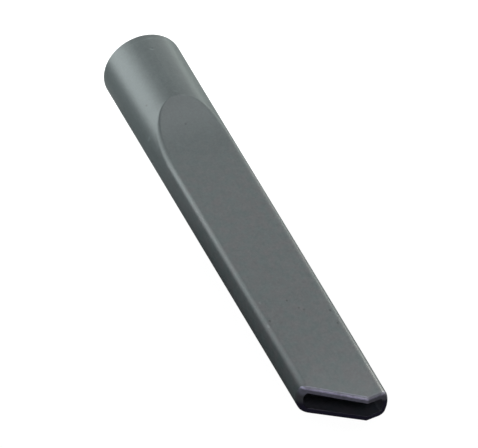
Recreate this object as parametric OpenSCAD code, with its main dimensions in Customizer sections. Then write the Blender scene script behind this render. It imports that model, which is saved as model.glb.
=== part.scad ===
// One-piece suction nozzle: a round push-on socket that runs out into a flat, slant-ended body.
// The drawing is in millimetres. The nozzle lies as it comes to rest on a level surface, with +Z up
// and +X running from the socket to the tip. The origin is on the socket's axis, where the straight
// bore starts.

/* [Socket] */
// Diameter of the bore, which takes the end of the suction tube
tube_bore_d = 35; // [30:0.5:40]
// Wall of the socket at its mouth
socket_wall = 2; // [1.8:0.1:3]
// Length of the round socket, from its mouth to where the flats break out of it
socket_len = 45; // [38:1:60]
// Length of the straight bore
bore_len = 25; // [15:1:32]
// Chamfer that leads the tube into the bore
lead_in = 1; // [0.5:0.1:1.2]
// How much the bore narrows behind its straight part, so that the tube jams there
seat_taper = 1; // [0.2:0.1:1.4]
// Rounding of the outer edge of the mouth
rim_r = 0.6; // [0.2:0.1:0.8]

/* [Flat body] */
// Length of the whole nozzle along its axis
total_len = 217; // [160:1:300]
// Length over which each flat sinks from the round socket down to its full depth
scoop_len = 35; // [25:1:60]
// Thickness of the body where the scoops end
neck_h = 18.8; // [15:0.1:24]
// Thickness of the body at the tip
tip_h = 14.4; // [11:0.1:16]
// Width of the body at the tip
tip_w = 29.8; // [24:0.1:38]
// Rounding of the four long edges, which also runs around the scoops
edge_r = 3.1; // [2.6:0.1:4]
// Wall of the flat body
body_wall = 2.2; // [1.8:0.1:2.5]

/* [Slanted tip] */
// How far the short side stops before the tip
slant_len = 15; // [0:0.5:30]
// Width of the square end beside the slant
nose_w = 8.6; // [6:0.1:14]
// How much the lips are pinched together at the tip
pinch = 2.1; // [0:0.1:3]
// Thickness of the two flat lips at the tip
lip_wall = 3.2; // [2.2:0.1:4]
// Outer rounding of the lips
lip_r = 1.2; // [0.5:0.1:2]

/* [Hidden] */
$fn = 96;

// Inner rounding of the lips
lip_inner_r = 0.3;
// The lips start to pinch this far behind the slant
pinch_lead = 3;
// How far the flat channel reaches back into the bore, so that the two open into each other
channel_overlap = 2;
// How far a cut runs out past the face it opens
cut_margin = 1;

// Facets along one side arc, one rounded long edge, one scoop, the rim and each edge of a lip
side_steps = 12;
edge_steps = 6;
scoop_steps = 12;
rim_steps = 3;
lip_steps = 5;
inner_lip_steps = 2;

mouth_r = tube_bore_d / 2 + socket_wall;
tip_x = total_len;
scoop_end_x = socket_len + scoop_len;
pinch_x = tip_x - slant_len - pinch_lead;

// The sides run straight from the mouth to the tip
function half_width(x) = mouth_r + (tip_w / 2 - mouth_r) * x / tip_x;
side_r = half_width(socket_len);

// The flats taper evenly from the end of the scoops to the tip, and are pinched over the last stretch
flat_slope = (neck_h - tip_h - pinch) / 2 / (tip_x - scoop_end_x);
function flat_z(x) = neck_h / 2 - flat_slope * (x - scoop_end_x);

// Each scoop is an arc that leaves the flat smoothly and rises to the top of the round socket
scoop_rise = side_r - flat_z(socket_len);
scoop_arc_r = (scoop_len * scoop_len + scoop_rise * scoop_rise) / (2 * scoop_rise);
function scoop_z(x) = scoop_arc_r - sqrt(scoop_arc_r * scoop_arc_r - pow(scoop_end_x - x, 2));

// The crest between socket and scoop is rounded off over an equal reach to both sides
crest_reach = edge_r * tan(asin(scoop_len / scoop_arc_r) / 2);
crest_x = socket_len - crest_reach;
function crest_loss(x) = pow(max(0, socket_len + crest_reach - x), 2) / (2 * edge_r);

function pinch_loss(x) = pinch / 2 * (x - pinch_x) / (tip_x - pinch_x);
function half_height(x) =
    x < scoop_end_x ? flat_z(x) + scoop_z(x) - crest_loss(x)
    : x < pinch_x ? flat_z(x)
    : flat_z(x) - pinch_loss(x);

// The slant runs from the short side up to the kink, where the square end starts
kink_y = tip_w / 2 - nose_w;
function front_x(y) = tip_x - slant_len * max(0, kink_y - y) / (kink_y + tip_w / 2);

// The centre of the rounded edge touches both the flat above it and the side arc beside it
function corner(x, inset) =
    let (r = edge_r - inset,
         z = half_height(x) - edge_r,
         reach = side_r - edge_r)
    [half_width(x) - side_r + sqrt(reach * reach - z * z), z, r];

// Where the points lie between the rounded edge and the middle of the flat, one of them at the kink
kink_share = kink_y / corner(tip_x, 0)[0];
flat_shares = [(1 + kink_share) / 2, kink_share, kink_share / 2, 0];

// A quarter of a section, from the side at mid height up and over to the middle of the flat
function flat_quarter(x, inset) =
    let (c = corner(x, inset),
         side_y = half_width(x) - side_r,
         turn = atan2(c[1], c[0] - side_y),
         r = side_r - inset)
    concat(
        [for (i = [0:side_steps]) let (a = turn * i / side_steps) [side_y + r * cos(a), r * sin(a)]],
        [for (i = [1:edge_steps]) let (a = turn + (90 - turn) * i / edge_steps)
            [c[0] + c[2] * cos(a), c[1] + c[2] * sin(a)]],
        [for (share = flat_shares) [c[0] * share, c[1] + c[2]]]
    );

// Round sections carry their points at the angles of the first flat section
crest_angles = [for (p = flat_quarter(socket_len, 0)) atan2(p[1], p[0])];
function round_quarter(r) = [for (a = crest_angles) [r * cos(a), r * sin(a)]];

function quarter(x, inset) =
    x < socket_len ? round_quarter(half_width(x) - inset) : flat_quarter(x, inset);

// The whole section, mirrored across both middle planes
function mirrored(q) =
    let (last = len(q) - 1)
    concat(
        [for (i = [0:last - 1]) [q[i][0], q[i][1]]],
        [for (i = [last:-1:1]) [-q[i][0], q[i][1]]],
        [for (i = [0:last - 1]) [-q[i][0], -q[i][1]]],
        [for (i = [last:-1:1]) [q[i][0], -q[i][1]]]
    );
function section(x, inset) = [for (p = mirrored(quarter(x, inset))) [x, p[0], p[1]]];

// A section that follows the slanted front, set back behind it. Each point is worked out twice,
// because the width at the front depends on how far back the front lies there.
function front_section(inset, setback) =
    let (first = section(tip_x, inset))
    [for (i = [0:len(first) - 1])
        let (guess = section(front_x(first[i][1]) - setback, inset)[i],
             x = front_x(guess[1]) - setback,
             p = section(x, inset)[i])
        [x, p[1], p[2]]];

// Sections of the scoop lie closest together at its crest
function scoop_section(i, inset) = section(socket_len + scoop_len * pow(i / scoop_steps, 2), inset);

// Each rounding turns through a quarter circle
function rim_section(i) =
    let (a = 90 * i / rim_steps)
    section(rim_r * (1 - cos(a)), rim_r * (1 - sin(a)));
lip_outer_r = min(lip_r, body_wall - lip_inner_r);
function outer_lip_section(i) =
    let (a = 90 * i / lip_steps)
    front_section(lip_outer_r * (1 - cos(a)), lip_outer_r * (1 - sin(a)));

// Towards the tip the channel gets lower, not narrower, so that its walls thicken into the lips
mouth_share = (half_height(tip_x) - lip_wall) / (half_height(tip_x) - body_wall);
function inner_lip_section(i) =
    let (a = 90 * i / inner_lip_steps)
    [for (p = front_section(body_wall - lip_inner_r * (1 - sin(a)), lip_inner_r * (1 - cos(a))))
        [p[0], p[1], p[2] * mouth_share]];

// The skin runs from the mouth forward over the outside, around the lips and back through the channel
skin = concat(
    [for (i = [0:rim_steps]) rim_section(i)],
    [section(crest_x, 0)],
    [for (i = [0:scoop_steps]) scoop_section(i, 0)],
    [section(pinch_x, 0)],
    [for (i = [0:lip_steps]) outer_lip_section(i)],
    [for (i = [0:inner_lip_steps]) inner_lip_section(i)],
    [section(pinch_x, body_wall)],
    [for (i = [scoop_steps:-1:0]) scoop_section(i, body_wall)],
    [section(socket_len - channel_overlap, body_wall)]
);

// Joins sections of equally many points into one closed surface with a flat cap at each end
module skinned(sections) {
    around = len(sections[0]);
    last = len(sections) - 1;
    polyhedron(
        points = [for (s = sections) each s],
        faces = concat(
            [[for (i = [0:around - 1]) i]],
            [for (k = [0:last - 1], i = [0:around - 1])
                let (a = k * around + i, b = k * around + (i + 1) % around)
                each [[a, a + around, b + around], [a, b + around, b]]],
            [[for (i = [around - 1:-1:0]) last * around + i]]
        )
    );
}

// The nozzle lies on the crest of its lower scoop and on its lower lip, which it touches either at
// the lip's edge or at the bend where the pinch starts. This tilt brings both down to one level.
function touch_tilt(x) = atan2(half_width(crest_x) - half_height(x), x - crest_x);
rest_tilt = min(touch_tilt(tip_x - lip_outer_r), touch_tilt(pinch_x));
module at_rest() {
    rotate([0, rest_tilt, 0]) translate([-lead_in, 0, 0]) children();
}

// Straight bore with a chamfered mouth, a tapered seat behind it and a ledge that stops the tube
module tube_socket() {
    bore_r = tube_bore_d / 2;
    straight_end = lead_in + bore_len;
    rotate([0, 90, 0]) rotate_extrude() polygon([
        [0, -cut_margin],
        [bore_r + lead_in + cut_margin, -cut_margin],
        [bore_r, lead_in],
        [bore_r, straight_end],
        [bore_r - seat_taper / 2, socket_len],
        [0, socket_len]
    ]);
}

module nozzle() {
    color("#5e6566") at_rest() difference() {
        skinned(skin);
        tube_socket();
    }
}

nozzle();
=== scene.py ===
"""Looks of a one-piece crevice nozzle: satin grey moulded plastic on a plain white studio floor."""
from math import cos, pi, radians, sin

import bpy
from mathutils import Matrix, Vector


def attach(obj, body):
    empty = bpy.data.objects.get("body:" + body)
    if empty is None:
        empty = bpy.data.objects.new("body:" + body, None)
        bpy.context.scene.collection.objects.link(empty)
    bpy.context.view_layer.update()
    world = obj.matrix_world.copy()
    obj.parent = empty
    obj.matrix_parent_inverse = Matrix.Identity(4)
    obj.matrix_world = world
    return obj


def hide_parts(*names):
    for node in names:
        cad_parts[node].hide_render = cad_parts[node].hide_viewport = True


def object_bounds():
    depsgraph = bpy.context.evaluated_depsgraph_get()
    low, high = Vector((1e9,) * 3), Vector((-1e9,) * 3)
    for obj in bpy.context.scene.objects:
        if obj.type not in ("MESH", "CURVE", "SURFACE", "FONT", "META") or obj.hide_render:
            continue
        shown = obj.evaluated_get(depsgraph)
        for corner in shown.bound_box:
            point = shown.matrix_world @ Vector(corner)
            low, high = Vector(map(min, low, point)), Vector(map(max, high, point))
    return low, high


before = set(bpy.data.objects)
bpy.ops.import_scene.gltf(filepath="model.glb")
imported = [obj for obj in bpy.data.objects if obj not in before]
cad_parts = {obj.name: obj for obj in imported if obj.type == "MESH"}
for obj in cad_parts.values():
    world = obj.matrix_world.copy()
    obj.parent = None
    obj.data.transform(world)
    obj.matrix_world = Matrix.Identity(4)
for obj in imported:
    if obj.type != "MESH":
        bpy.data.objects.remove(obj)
cad_low, cad_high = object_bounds()

# Camera, fitted to the outline of the nozzle in the photograph of 478 by 448 pixels
AIM = Vector((0.110, 0.0013, -0.0079))
CAMERA_DISTANCE = 0.520
CAMERA_AZIMUTH = radians(-20.75)
CAMERA_HEIGHT = radians(43.07)
CAMERA_ROLL = radians(-3.85)
LENS_MM = 94.0
SENSOR_MM = 36.0

# Tilt of the nozzle's axis down towards the tip, as it lies, and the chamfer ahead of the origin
REST_TILT = radians(3.756)
LEAD_IN = 0.001

# The skin: points this close are merged, and edges that turn by more than this angle stay crisp
MERGE_DISTANCE = 0.000002
CRISP_ANGLE = radians(30)

# Plastic, as linear colours. The grey is bluish on the socket, and on the body it drifts to a plain one.
BLUISH_GREY = (0.092, 0.110, 0.112)
PLAIN_GREY = (0.109, 0.111, 0.115)
WORN_GREY = (0.17, 0.185, 0.19)
# A painted highlight on the upper lip's rounded edge
PAINTED_LIP_HIGHLIGHT = (0.72, 0.70, 0.90)
# Painted shade on the lower lip, low on the square end and in the channel
PAINTED_LIP_SHADE = (0.018, 0.0155, 0.036)
ROUGHNESS = 0.33
COAT_ROUGHNESS = 0.25

# Where along the nozzle the plain grey starts to mix in and where it does so in full, and between which
# two values of the cloud noise the bluish grey gives way to it
BODY_GREY = (0.045, 0.110)
COLOUR_CLOUD_EDGE = (0.3, 0.7)

# Grain: its size, depth and strength, and how many clouds lie along a metre, in colour and in tone
GRAIN_SIZE = 0.0006
GRAIN_DEPTH = 0.00005
GRAIN_STRENGTH = 0.5
COLOUR_CLOUDS = 260.0
TONE_CLOUDS = 28.0

# The tone of the plastic with no pattern on it, what each pattern adds to it or to the roughness, and
# how strongly the worn edges and the painted shade at the tip cover it
PLAIN_TONE = 0.63
CLOUD_TONE = 0.16
SPECK_TONE = 0.36
MOTTLE_TONE = 0.22
SPECK_ROUGHNESS = 0.10
EDGE_WEAR = 0.35
PAINTED_SHADE_STRENGTH = 0.95

# Rubbed edges: how fast a bend of the skin counts as an edge, how many breaks lie along a metre of it,
# and how far their noise is stretched and then lowered
EDGE_SHARPNESS = 12.0
EDGE_BREAKS = 160.0
EDGE_BREAK_STRETCH = 1.6
EDGE_BREAK_DROP = 0.35

# Small marks of use, and last a painted highlight along the left upper edge: place along, across and
# above the nozzle's axis, length and width, all in millimetres, turn in degrees, and how much lighter or
# darker than the plastic around
USE_MARKS_AND_RIDGE_HIGHLIGHT = (
    (3.1, 4.1, 19.0, 0.9, 4.0, 0, 0.45),
    (11.3, 1.9, 19.2, 1.2, 2.6, -30, 0.45),
    (10.6, 2.4, 19.2, 1.0, 1.0, 0, -0.50),
    (42.5, 1.2, 18.5, 0.8, 2.6, -30, 0.30),
    (46.0, 3.6, 18.0, 0.8, 2.8, -30, 0.30),
    (41.1, -12.3, 14.0, 1.4, 1.0, 20, -0.55),
    (58.4, -0.7, 12.9, 1.4, 1.1, 0, -0.50),
    (54.8, -16.9, 7.2, 2.4, 1.4, 30, 0.50),
    (161.1, -11.4, 8.7, 1.5, 1.0, 15, 0.40),
    (164.3, -1.5, 8.7, 1.1, 1.0, 0, -0.45),
    (169.4, 1.2, 8.6, 1.0, 0.9, 0, -0.40),
    (170.9, 2.6, 8.6, 1.0, 0.9, 0, -0.35),
    (172.6, -13.1, 8.3, 2.0, 1.0, 5, 0.70),
    (170.7, -11.6, 8.6, 1.4, 1.0, 0, -0.45),
    (175.3, 11.5, 8.6, 1.5, 1.0, 10, -0.45),
    (182.2, 11.4, 8.5, 1.5, 1.0, -10, -0.45),
    # A painted highlight along the left upper rounded edge towards the tip, not a mark of use
    (187.0, -12.8, 8.1, 46.0, 1.8, 1, 0.22),
)
# Wide faint patches of painted light and shade, in the same terms: a painted highlight line by the
# socket's mouth, painted shade in the scoop, and painted light on the flat next to the lips
LIGHT_AND_SHADE_PATCHES = (
    (3.7, 2.0, 18.0, 0.9, 28.0, 0, 0.16),
    (50.0, 0.0, 15.0, 34.0, 34.0, 0, -0.11),
    (206.0, 0.0, 7.8, 34.0, 34.0, 40, 0.05),
)

# A mark reaches into the surface by a quarter of its width, but at least by this many millimetres, so
# that it follows a curve. Its mask is 0 at the first share of its half size and 1 at the second.
LEAST_MARK_DEPTH = 2.0
MARK_EDGE = (1.3, 0.3)
MILLIMETRES_IN_A_METRE = 1000

# The slanted tip, on the nozzle's own axis: its reach, where the slant turns into the square end
# across, half its thickness and how steeply the pinched lips close on each other
TIP_ALONG = 0.217
SLANT_LENGTH = 0.015
KINK_ACROSS = 0.0063
TIP_HALF_THICKNESS = 0.0072
PINCH_SLOPE = 0.0667

# Painted highlight and painted shade at the lips, in metres. In each pair a mask is 0 at the first value
# and 1 at the second.
# How far forward a surface looks, from 0 to 1, and where along the nozzle the lips start
LOOKS_FORWARD = (0.14, 0.40)
LIPS_ALONG = (TIP_ALONG - SLANT_LENGTH - 0.002, TIP_ALONG - SLANT_LENGTH - 0.001)
# The painted highlight on the upper lip, as depth below its top, and fainter painted light on the face
# below
HIGHLIGHT_BEGINS = (0.0002, 0.0008)
HIGHLIGHT_ENDS = (0.0014, 0.0009)
FACE_ENDS = (0.0060, 0.0030)
FACE_HIGHLIGHT = 0.28
# The painted highlight sinks a little towards the corner of the short side, stops there, and is fainter
# on the square end
CORNER_TURNS = (-0.0080, -0.0140)
CORNER_SINKS = 0.0002
CORNER_STOPS = (-0.0152, -0.0141)
SLANT_STOPS = (KINK_ACROSS + 0.0006, KINK_ACROSS - 0.0006)
SQUARE_END_HIGHLIGHT = 0.3
# How many breaks lie along a metre of the painted highlight, and how far their noise is stretched
LIP_BREAKS = 600.0
LIP_BREAK_STRETCH = 1.8
# Painted shade on the lower lip and low on the square end, by height and by place across
LOWER_LIP = (0.0, -0.003)
SQUARE_END = (KINK_ACROSS, KINK_ACROSS + 0.001)
SQUARE_END_LOW = (0.0032, 0.0016)
# Fainter painted shade in the channel: depth below the flat, distance from the middle, and place along
CHANNEL_PAINTED_SHADE = 0.45
CHANNEL_DEPTH = (0.0016, 0.0020)
CHANNEL_ACROSS = (0.0139, 0.0135)
CHANNEL_ALONG = (0.17, 0.20)

# Floor: its size, its own tone under the lamps behind the socket and ahead of it, where along the
# nozzle the front tone starts to turn into the rear one and where it has done so, how far the floor
# glows for the camera, and the reach around the nozzle within which its mirror image stays dim
FLOOR_SIZE = 8.0
REAR_FLOOR_TONE = 0.42
FRONT_FLOOR_TONE = 0.05
FLOOR_TURNS_PALE = 0.115
FLOOR_IS_PALE = 0.035
FLOOR_ROUGHNESS = 0.9
FLOOR_GLOW = 0.98
DIM_FLOOR_REACH = 0.6

# From each lamp to the middle of the nozzle
LAMP_DISTANCE = 0.9


def deselect_all():
    for piece in bpy.context.selected_objects:
        piece.select_set(False)


def take_up(piece):
    """Makes one object the only selected and active one, ready for operators."""
    deselect_all()
    piece.select_set(True)
    bpy.context.view_layer.objects.active = piece


# Node helpers
def add_node(tree, kind, place, **settings):
    node = tree.nodes.new(kind)
    node.location = place
    for name, value in settings.items():
        setattr(node, name, value)
    return node


def add_math(tree, operation, place, first, second=None, third=None, clamp=False):
    """A Math node on up to three inputs, each a socket or a plain number. Returns its output."""
    node = add_node(tree, "ShaderNodeMath", place, operation=operation, use_clamp=clamp)
    for index, value in enumerate((first, second, third)):
        if isinstance(value, bpy.types.NodeSocket):
            tree.links.new(value, node.inputs[index])
        elif value is not None:
            node.inputs[index].default_value = value
    return node.outputs[0]


def add_product(tree, place, *factors):
    """The product of two or more sockets. Returns the last node's output."""
    x, y = place
    product = factors[0]
    for column, factor in enumerate(factors[1:]):
        product = add_math(tree, "MULTIPLY", (x + 160 * column, y), product, factor)
    return product


def add_ramp(tree, place, value, start, end):
    """A smooth step of a value, from 0 at start to 1 at end. Returns its output."""
    node = add_node(tree, "ShaderNodeMapRange", place, interpolation_type="SMOOTHSTEP")
    tree.links.new(value, node.inputs["Value"])
    node.inputs["From Min"].default_value = min(start, end)
    node.inputs["From Max"].default_value = max(start, end)
    node.inputs["To Min"].default_value = float(start > end)
    node.inputs["To Max"].default_value = float(start < end)
    return node.outputs[0]


def add_noise(tree, place, position, scale, detail):
    """Soft noise around 0.5. Its scale is a socket or a plain number. Returns its output."""
    noise = add_node(tree, "ShaderNodeTexNoise", place)
    tree.links.new(position, noise.inputs["Vector"])
    if isinstance(scale, bpy.types.NodeSocket):
        tree.links.new(scale, noise.inputs["Scale"])
    else:
        noise.inputs["Scale"].default_value = scale
    noise.inputs["Detail"].default_value = detail
    return noise.outputs[0]


def new_group(name, inputs, outputs):
    """A shader node group with named sockets. Inputs are (name, kind, value), outputs (name, kind)."""
    group = bpy.data.node_groups.new(name, "ShaderNodeTree")
    for socket_name, kind, value in inputs:
        socket = group.interface.new_socket(socket_name, in_out="INPUT", socket_type=kind)
        if value is not None:
            socket.default_value = value
    for socket_name, kind in outputs:
        group.interface.new_socket(socket_name, in_out="OUTPUT", socket_type=kind)
    entry = add_node(group, "NodeGroupInput", (-900, 0))
    leave = add_node(group, "NodeGroupOutput", (1000, 0))
    return group, entry.outputs, leave.inputs


def make_mould_grain():
    """Fine spark-eroded grain with scattered specks and a coarser mottle, as on a moulded satin surface."""
    group, given, result = new_group(
        "mould grain",
        [("Position", "NodeSocketVector", None), ("Grain Size", "NodeSocketFloat", 0.0005)],
        [("Height", "NodeSocketFloat"), ("Speck", "NodeSocketFloat"), ("Mottle", "NodeSocketFloat")],
    )
    frequency = add_math(group, "DIVIDE", (-700, -200), 1.0, given["Grain Size"])

    # Each pattern's share of the grain's frequency, its detail and its row in the node editor
    patterns = (
        ("Height", 1.0, 3.0, 150),
        ("Speck", 0.6, 1.0, -150),
        ("Mottle", 0.2, 2.0, -450),
    )
    for name, share, detail, row in patterns:
        scale = add_math(group, "MULTIPLY", (-500, row), frequency, share)
        group.links.new(add_noise(group, (-300, row), given["Position"], scale, detail), result[name])
    return group


def make_edge_wear():
    """A mask of the edges that handling has polished pale, broken up along their length."""
    group, given, result = new_group(
        "edge wear",
        [("Position", "NodeSocketVector", None), ("Reach", "NodeSocketFloat", 0.001)],
        [("Wear", "NodeSocketFloat")],
    )
    bevel = add_node(group, "ShaderNodeBevel", (-700, 200), samples=6)
    group.links.new(given["Reach"], bevel.inputs["Radius"])
    surface = add_node(group, "ShaderNodeNewGeometry", (-700, 0))
    bend = add_node(group, "ShaderNodeVectorMath", (-500, 100), operation="DOT_PRODUCT")
    group.links.new(bevel.outputs[0], bend.inputs[0])
    group.links.new(surface.outputs["Normal"], bend.inputs[1])
    turned = add_math(group, "SUBTRACT", (-300, 100), 1.0, bend.outputs["Value"])
    edge = add_math(group, "MULTIPLY", (-150, 100), turned, EDGE_SHARPNESS, clamp=True)
    breaks = add_noise(group, (-500, -250), given["Position"], EDGE_BREAKS, 4.0)
    broken = add_math(
        group, "MULTIPLY_ADD", (-150, -200), breaks, EDGE_BREAK_STRETCH, -EDGE_BREAK_DROP, clamp=True
    )
    group.links.new(add_product(group, (200, 0), edge, broken), result["Wear"])
    return group


def make_lip_highlight_and_shade():
    """Two masks at the slanted tip: a painted highlight on the upper lip's rounded edge, which also sets
    its gloss coat, and painted shade on the lower lip, low on the square end and in the channel behind the
    mouth."""
    group, given, result = new_group(
        "lip highlight and shade",
        [("Position", "NodeSocketVector", None)],
        [("Painted Highlight And Coat", "NodeSocketFloat"), ("Painted Shade", "NodeSocketFloat")],
    )
    place = add_node(group, "ShaderNodeSeparateXYZ", (-700, -200))
    group.links.new(given["Position"], place.inputs[0])
    along, across, above = place.outputs
    surface = add_node(group, "ShaderNodeNewGeometry", (-700, 200))
    facing = add_node(group, "ShaderNodeVectorMath", (-500, 100), operation="DOT_PRODUCT")
    group.links.new(surface.outputs["Normal"], facing.inputs[0])
    facing.inputs[1].default_value = (1, 0, 0)
    forward = add_ramp(group, (-300, 100), facing.outputs["Value"], *LOOKS_FORWARD)
    front = add_product(group, (-100, 100), forward, add_ramp(group, (-300, -50), along, *LIPS_ALONG))

    # Height of the flat above the middle, which the pinch slopes down towards the tip
    level_top = TIP_HALF_THICKNESS + TIP_ALONG * PINCH_SLOPE
    top = add_math(group, "MULTIPLY_ADD", (-500, -250), along, -PINCH_SLOPE, level_top)

    # Painted highlight on the upper lip, with fainter painted light on the face below it, broken up along
    # its length
    depth = add_math(group, "SUBTRACT", (-300, -250), top, above)
    corner = add_ramp(group, (-500, -450), across, *CORNER_TURNS)
    depth = add_math(group, "MULTIPLY_ADD", (-200, -350), corner, -CORNER_SINKS, depth)
    begins = add_ramp(group, (-100, -250), depth, *HIGHLIGHT_BEGINS)
    ends = add_ramp(group, (-100, -400), depth, *HIGHLIGHT_ENDS)
    face = add_ramp(group, (-100, -550), depth, *FACE_ENDS)
    line = add_product(group, (100, -250), begins, ends)
    line = add_math(group, "MULTIPLY_ADD", (250, -250), face, FACE_HIGHLIGHT, line, clamp=True)
    breaks = add_noise(group, (-500, -750), given["Position"], LIP_BREAKS, 3.0)
    broken = add_math(group, "MULTIPLY", (-300, -750), breaks, LIP_BREAK_STRETCH, clamp=True)
    slanted = add_ramp(group, (-100, -700), across, *SLANT_STOPS)
    slanted = add_math(group, "MULTIPLY_ADD", (100, -700), slanted, 1 - SQUARE_END_HIGHLIGHT, SQUARE_END_HIGHLIGHT)
    inner = add_ramp(group, (-100, -850), across, *CORNER_STOPS)
    group.links.new(add_product(group, (300, -500), line, front, broken, slanted, inner), result["Painted Highlight And Coat"])

    # Painted shade on the lips
    low = add_ramp(group, (-100, 450), above, *LOWER_LIP)
    square = add_ramp(group, (-100, 300), across, *SQUARE_END)
    square = add_product(group, (50, 300), square, add_ramp(group, (-100, 200), above, *SQUARE_END_LOW))
    shaded_lips = add_math(group, "MAXIMUM", (150, 350), low, square)
    shaded_lips = add_product(group, (300, 300), shaded_lips, front)

    # Painted shade in the channel, on all faces that don't look forward
    inward = add_math(group, "SUBTRACT", (-300, 750), top, add_math(group, "ABSOLUTE", (-500, 750), above))
    below = add_ramp(group, (-100, 900), inward, *CHANNEL_DEPTH)
    sideways = add_math(group, "ABSOLUTE", (-500, 600), across)
    between = add_ramp(group, (-100, 750), sideways, *CHANNEL_ACROSS)
    ahead = add_ramp(group, (-100, 600), along, *CHANNEL_ALONG)
    level = add_math(group, "MULTIPLY_ADD", (-100, 1050), forward, -CHANNEL_PAINTED_SHADE, CHANNEL_PAINTED_SHADE)
    channel_shade = add_product(group, (100, 750), below, between, ahead, level)
    group.links.new(add_math(group, "MAXIMUM", (550, 400), shaded_lips, channel_shade), result["Painted Shade"])
    return group


def make_mark():
    """A mask of one small mark of use, or of one patch of painted light or shade: a soft-edged ellipse that
    lies on the surface.
    """
    group, given, result = new_group(
        "mark or painted light",
        [
            ("Position", "NodeSocketVector", None),
            ("Middle", "NodeSocketVector", None),
            ("Turn", "NodeSocketFloat", 0.0),
            ("Half Size", "NodeSocketVector", None),
        ],
        [("Mask", "NodeSocketFloat")],
    )
    offset = add_node(group, "ShaderNodeVectorMath", (-600, 0), operation="SUBTRACT")
    group.links.new(given["Position"], offset.inputs[0])
    group.links.new(given["Middle"], offset.inputs[1])
    turned = add_node(group, "ShaderNodeVectorRotate", (-400, 0), rotation_type="Z_AXIS")
    group.links.new(offset.outputs[0], turned.inputs["Vector"])
    group.links.new(given["Turn"], turned.inputs["Angle"])
    scaled = add_node(group, "ShaderNodeVectorMath", (-200, 0), operation="DIVIDE")
    group.links.new(turned.outputs[0], scaled.inputs[0])
    group.links.new(given["Half Size"], scaled.inputs[1])
    distance = add_node(group, "ShaderNodeVectorMath", (0, 0), operation="LENGTH")
    group.links.new(scaled.outputs[0], distance.inputs[0])
    group.links.new(add_ramp(group, (200, 0), distance.outputs["Value"], *MARK_EDGE), result["Mask"])
    return group


def add_marks_and_painted_light(tree, own_place, tone):
    """Lightens or darkens a tone at each mark of use, and paints light and shade at the ridge and at each
    patch. Returns the last node's output.
    """
    mark_group = make_mark()
    for row, (along, across, above, length, width, turn, change) in enumerate(USE_MARKS_AND_RIDGE_HIGHLIGHT + LIGHT_AND_SHADE_PATCHES):
        y = -700 - 250 * row
        middle = Vector((along, across, above))
        half_size = Vector((length / 2, width / 2, max(LEAST_MARK_DEPTH, width / 4)))
        mark = add_node(tree, "ShaderNodeGroup", (-1400, y), node_tree=mark_group)
        tree.links.new(own_place, mark.inputs["Position"])
        mark.inputs["Middle"].default_value = middle / MILLIMETRES_IN_A_METRE
        mark.inputs["Turn"].default_value = -radians(turn)
        mark.inputs["Half Size"].default_value = half_size / MILLIMETRES_IN_A_METRE
        tone = add_math(tree, "MULTIPLY_ADD", (-1100, y), mark.outputs["Mask"], change, tone)
    return tone


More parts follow.
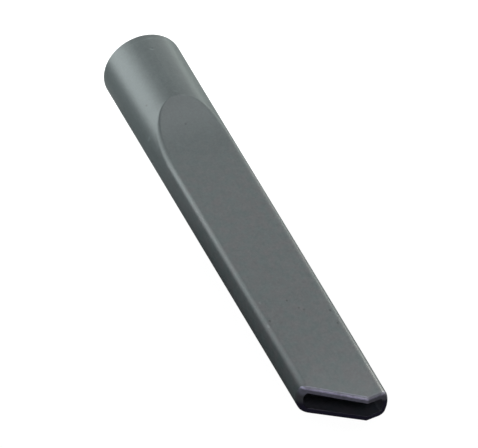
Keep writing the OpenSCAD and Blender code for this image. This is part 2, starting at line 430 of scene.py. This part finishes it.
def make_grey_plastic():
    """Satin grey polypropylene with mould grain, faint clouding, rubbed edges and small marks of use, with
    patches of painted light and shade, a painted highlight along the left upper edge, a painted highlight
    and a gloss coat on the upper lip, and painted shade on the lower lip, the square end and in the
    channel."""
    material = bpy.data.materials.new("grey_plastic")
    material.use_nodes = True
    tree = material.node_tree
    shader = tree.nodes["Principled BSDF"]
    place = add_node(tree, "ShaderNodeTexCoord", (-1900, 0)).outputs["Object"]

    # The same places, on the nozzle's own axis from its mouth
    own = add_node(tree, "ShaderNodeMapping", (-1700, -300))
    own.inputs["Rotation"].default_value = (0, -REST_TILT, 0)
    own.inputs["Location"].default_value = (LEAD_IN, 0, 0)
    tree.links.new(place, own.inputs["Vector"])

    grain = add_node(tree, "ShaderNodeGroup", (-1400, 0), node_tree=make_mould_grain())
    wear = add_node(tree, "ShaderNodeGroup", (-1400, -250), node_tree=make_edge_wear())
    lip = add_node(tree, "ShaderNodeGroup", (-1400, -450), node_tree=make_lip_highlight_and_shade())
    for effect in (grain, wear):
        tree.links.new(place, effect.inputs["Position"])
    tree.links.new(own.outputs[0], lip.inputs["Position"])
    grain.inputs["Grain Size"].default_value = GRAIN_SIZE

    # The grey, from bluish on the socket to a cloudy mix on the body
    split = add_node(tree, "ShaderNodeSeparateXYZ", (-1400, 550))
    tree.links.new(own.outputs[0], split.inputs[0])
    body = add_ramp(tree, (-1100, 550), split.outputs["X"], *BODY_GREY)
    colour_clouds = add_noise(tree, (-1400, 400), place, COLOUR_CLOUDS, 3.0)
    drift = add_ramp(tree, (-1100, 400), colour_clouds, *COLOUR_CLOUD_EDGE)
    blend = add_node(tree, "ShaderNodeMix", (-700, 400), data_type="RGBA")
    blend.inputs["A"].default_value = (*BLUISH_GREY, 1)
    blend.inputs["B"].default_value = (*PLAIN_GREY, 1)
    tree.links.new(add_product(tree, (-900, 450), drift, body), blend.inputs["Factor"])

    # Its tone, lighter and darker by clouds, specks, mottle, marks of use, and painted light and shade
    tone_clouds = add_noise(tree, (-1400, 250), place, TONE_CLOUDS, 3.0)
    tone = PLAIN_TONE
    patterns = (
        (150, tone_clouds, CLOUD_TONE),
        (0, grain.outputs["Speck"], SPECK_TONE),
        (-150, grain.outputs["Mottle"], MOTTLE_TONE),
    )
    for row, pattern, change in patterns:
        tone = add_math(tree, "MULTIPLY_ADD", (-1100, row), pattern, change, tone)
    tone = add_marks_and_painted_light(tree, own.outputs[0], tone)
    toned = add_node(tree, "ShaderNodeVectorMath", (-550, 400), operation="SCALE")
    tree.links.new(blend.outputs["Result"], toned.inputs[0])
    tree.links.new(tone, toned.inputs["Scale"])

    # Worn edges, the painted shade at the tip and the painted highlight on the upper lip, each laid over
    # what lies below
    rubbed = add_math(tree, "MULTIPLY", (-700, 100), wear.outputs["Wear"], EDGE_WEAR)
    painted_shade = add_math(tree, "MULTIPLY", (-700, -50), lip.outputs["Painted Shade"], PAINTED_SHADE_STRENGTH)
    colour = toned.outputs[0]
    layers = (
        (WORN_GREY, rubbed),
        (PAINTED_LIP_SHADE, painted_shade),
        (PAINTED_LIP_HIGHLIGHT, lip.outputs["Painted Highlight And Coat"]),
    )
    for column, (changed, amount) in enumerate(layers):
        layer = add_node(tree, "ShaderNodeMix", (-500 + 160 * column, 300), data_type="RGBA")
        layer.inputs["B"].default_value = (*changed, 1)
        tree.links.new(colour, layer.inputs["A"])
        tree.links.new(amount, layer.inputs["Factor"])
        colour = layer.outputs["Result"]
    tree.links.new(colour, shader.inputs["Base Color"])

    satin = add_math(tree, "MULTIPLY_ADD", (-550, 0), grain.outputs["Speck"], SPECK_ROUGHNESS, ROUGHNESS)
    tree.links.new(satin, shader.inputs["Roughness"])
    tree.links.new(lip.outputs["Painted Highlight And Coat"], shader.inputs["Coat Weight"])
    shader.inputs["Coat Roughness"].default_value = COAT_ROUGHNESS
    bump = add_node(tree, "ShaderNodeBump", (-250, -250))
    bump.inputs["Strength"].default_value = GRAIN_STRENGTH
    bump.inputs["Distance"].default_value = GRAIN_DEPTH
    tree.links.new(grain.outputs["Height"], bump.inputs["Height"])
    tree.links.new(bump.outputs["Normal"], shader.inputs["Normal"])
    return material


def make_nozzle():
    """The moulded body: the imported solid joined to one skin, with smooth curves and crisp edges."""
    shell = bpy.data.objects.new("nozzle_shell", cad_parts["nozzle"].data.copy())
    bpy.context.scene.collection.objects.link(shell)
    take_up(shell)
    bpy.ops.mesh.customdata_custom_splitnormals_clear()
    bpy.ops.object.mode_set(mode="EDIT")
    bpy.ops.mesh.select_all(action="SELECT")
    bpy.ops.mesh.remove_doubles(threshold=MERGE_DISTANCE)
    bpy.ops.mesh.tris_convert_to_quads(face_threshold=radians(4), shape_threshold=radians(60))
    bpy.ops.object.mode_set(mode="OBJECT")
    bpy.ops.object.shade_smooth_by_angle(angle=CRISP_ANGLE)
    even = shell.modifiers.new("even normals", "WEIGHTED_NORMAL")
    even.keep_sharp = True
    bpy.ops.object.modifier_apply(modifier=even.name)
    shell.data.materials.clear()
    shell.data.materials.append(make_grey_plastic())
    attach(shell, "root")
    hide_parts("nozzle")


def white_to_the_eye(tree, place, reach=None):
    """How far a ray is to see white: a camera ray everywhere, and a mirrored or refracted ray where
    reach, a socket from 0 to 1, lets it. Returns a socket."""
    rays = add_node(tree, "ShaderNodeLightPath", place)
    x, y = place
    glossy, refracted = rays.outputs["Is Glossy Ray"], rays.outputs["Is Transmission Ray"]
    indirect = add_math(tree, "ADD", (x + 200, y - 100), glossy, refracted)
    if reach is not None:
        indirect = add_math(tree, "MULTIPLY", (x + 400, y - 100), indirect, reach)
    return add_math(tree, "ADD", (x + 600, y), rays.outputs["Is Camera Ray"], indirect, clamp=True)


def make_floor():
    """A plain floor that the camera sees white. Close to the nozzle its mirror image stays dim."""
    deselect_all()
    bpy.ops.mesh.primitive_plane_add(size=FLOOR_SIZE, location=(AIM.x, AIM.y, cad_low.z))
    floor = bpy.context.active_object
    floor.name = "studio_floor"
    material = bpy.data.materials.new("white_floor")
    material.use_nodes = True
    tree = material.node_tree
    shader = tree.nodes["Principled BSDF"]
    shader.inputs["Roughness"].default_value = FLOOR_ROUGHNESS
    shader.inputs["Specular IOR Level"].default_value = 0.0
    shader.inputs["Emission Color"].default_value = (1, 1, 1, 1)
    place = add_node(tree, "ShaderNodeTexCoord", (-1400, -200)).outputs["Object"]

    # Places on the floor count from its middle, below the aim of the camera
    split = add_node(tree, "ShaderNodeSeparateXYZ", (-1200, 300))
    tree.links.new(place, split.inputs[0])
    turn = (FLOOR_TURNS_PALE - AIM.x, FLOOR_IS_PALE - AIM.x)
    blend = add_node(tree, "ShaderNodeMix", (-400, 300), data_type="RGBA")
    blend.inputs["A"].default_value = (FRONT_FLOOR_TONE, FRONT_FLOOR_TONE, FRONT_FLOOR_TONE, 1)
    blend.inputs["B"].default_value = (REAR_FLOOR_TONE, REAR_FLOOR_TONE, REAR_FLOOR_TONE, 1)
    tree.links.new(add_ramp(tree, (-1000, 300), split.outputs["X"], *turn), blend.inputs["Factor"])
    tree.links.new(blend.outputs["Result"], shader.inputs["Base Color"])

    away = add_node(tree, "ShaderNodeVectorMath", (-1200, -200), operation="LENGTH")
    tree.links.new(place, away.inputs[0])
    far = add_node(tree, "ShaderNodeMapRange", (-1000, -200))
    far.inputs["From Min"].default_value = DIM_FLOOR_REACH
    far.inputs["From Max"].default_value = 2 * DIM_FLOOR_REACH
    tree.links.new(away.outputs["Value"], far.inputs["Value"])
    seen = white_to_the_eye(tree, (-900, 100), far.outputs[0])
    glow = add_math(tree, "MULTIPLY", (-200, -200), seen, FLOOR_GLOW)
    tree.links.new(glow, shader.inputs["Emission Strength"])
    floor.data.materials.append(material)


def make_surroundings():
    """No light of its own, and white where the camera or a mirrored ray sees past the floor."""
    world = bpy.data.worlds.new("studio")
    world.use_nodes = True
    bpy.context.scene.world = world
    tree = world.node_tree
    sky = tree.nodes["Background"]
    sky.inputs["Color"].default_value = (1, 1, 1, 1)
    tree.links.new(white_to_the_eye(tree, (-900, 0)), sky.inputs["Strength"])


def add_softbox(name, azimuth, height, size, radiance):
    """A soft rectangular lamp that faces the middle of the nozzle from an azimuth and a height, both
    in degrees. Its radiance is its brightness in each colour, where 1 is that of a white wall."""
    turn, rise = radians(azimuth), radians(height)
    towards = Vector((cos(rise) * cos(turn), cos(rise) * sin(turn), sin(rise)))
    brightest = max(radiance)
    data = bpy.data.lights.new(name, "AREA")
    data.shape = "RECTANGLE"
    data.size, data.size_y = size
    data.energy = brightest * pi * size[0] * size[1]
    data.color = [share / brightest for share in radiance]
    lamp = bpy.data.objects.new(name, data)
    lamp.location = AIM + towards * LAMP_DISTANCE
    lamp.rotation_euler = towards.to_track_quat("Z", "Y").to_euler()
    bpy.context.scene.collection.objects.link(lamp)


def light_studio():
    """Two softboxes behind on the left make the long highlight, two on the right the thin one on the far
    edge, one high on the right lights the flat, and two in front the tip and its lips."""
    add_softbox("left_low", 220, 22, (0.40, 0.55), (5.00, 5.58, 5.56))
    add_softbox("left_high", 210, 45, (0.40, 0.40), (2.92, 3.26, 3.20))
    add_softbox("right_low", 95, 20, (0.40, 0.30), (18.2, 18.6, 17.5))
    add_softbox("right_edge", 128, 2, (0.50, 0.12), (2.0, 2.3, 2.1))
    add_softbox("overhead", 90, 75, (0.40, 0.40), (3.02, 3.16, 3.20))
    add_softbox("front_high", 0, 55, (0.25, 0.25), (4.5, 4.3, 4.8))
    add_softbox("front_low", -20, 7, (0.35, 0.25), (3.9, 3.75, 4.2))


def place_camera():
    data = bpy.data.cameras.new("photo_view")
    data.sensor_width = SENSOR_MM
    data.lens = LENS_MM
    data.clip_start = 0.01
    camera = bpy.data.objects.new("photo_view", data)
    level = cos(CAMERA_HEIGHT)
    away = Vector((level * cos(CAMERA_AZIMUTH), level * sin(CAMERA_AZIMUTH), sin(CAMERA_HEIGHT)))
    turn = away.to_track_quat("Z", "Y").to_matrix() @ Matrix.Rotation(CAMERA_ROLL, 3, "Z")
    camera.matrix_world = Matrix.Translation(AIM + away * CAMERA_DISTANCE) @ turn.to_4x4()
    bpy.context.scene.collection.objects.link(camera)
    bpy.context.scene.camera = camera


place_camera()
make_nozzle()
make_floor()
make_surroundings()
light_studio()
bpy.context.scene.view_settings.view_transform = "Standard"
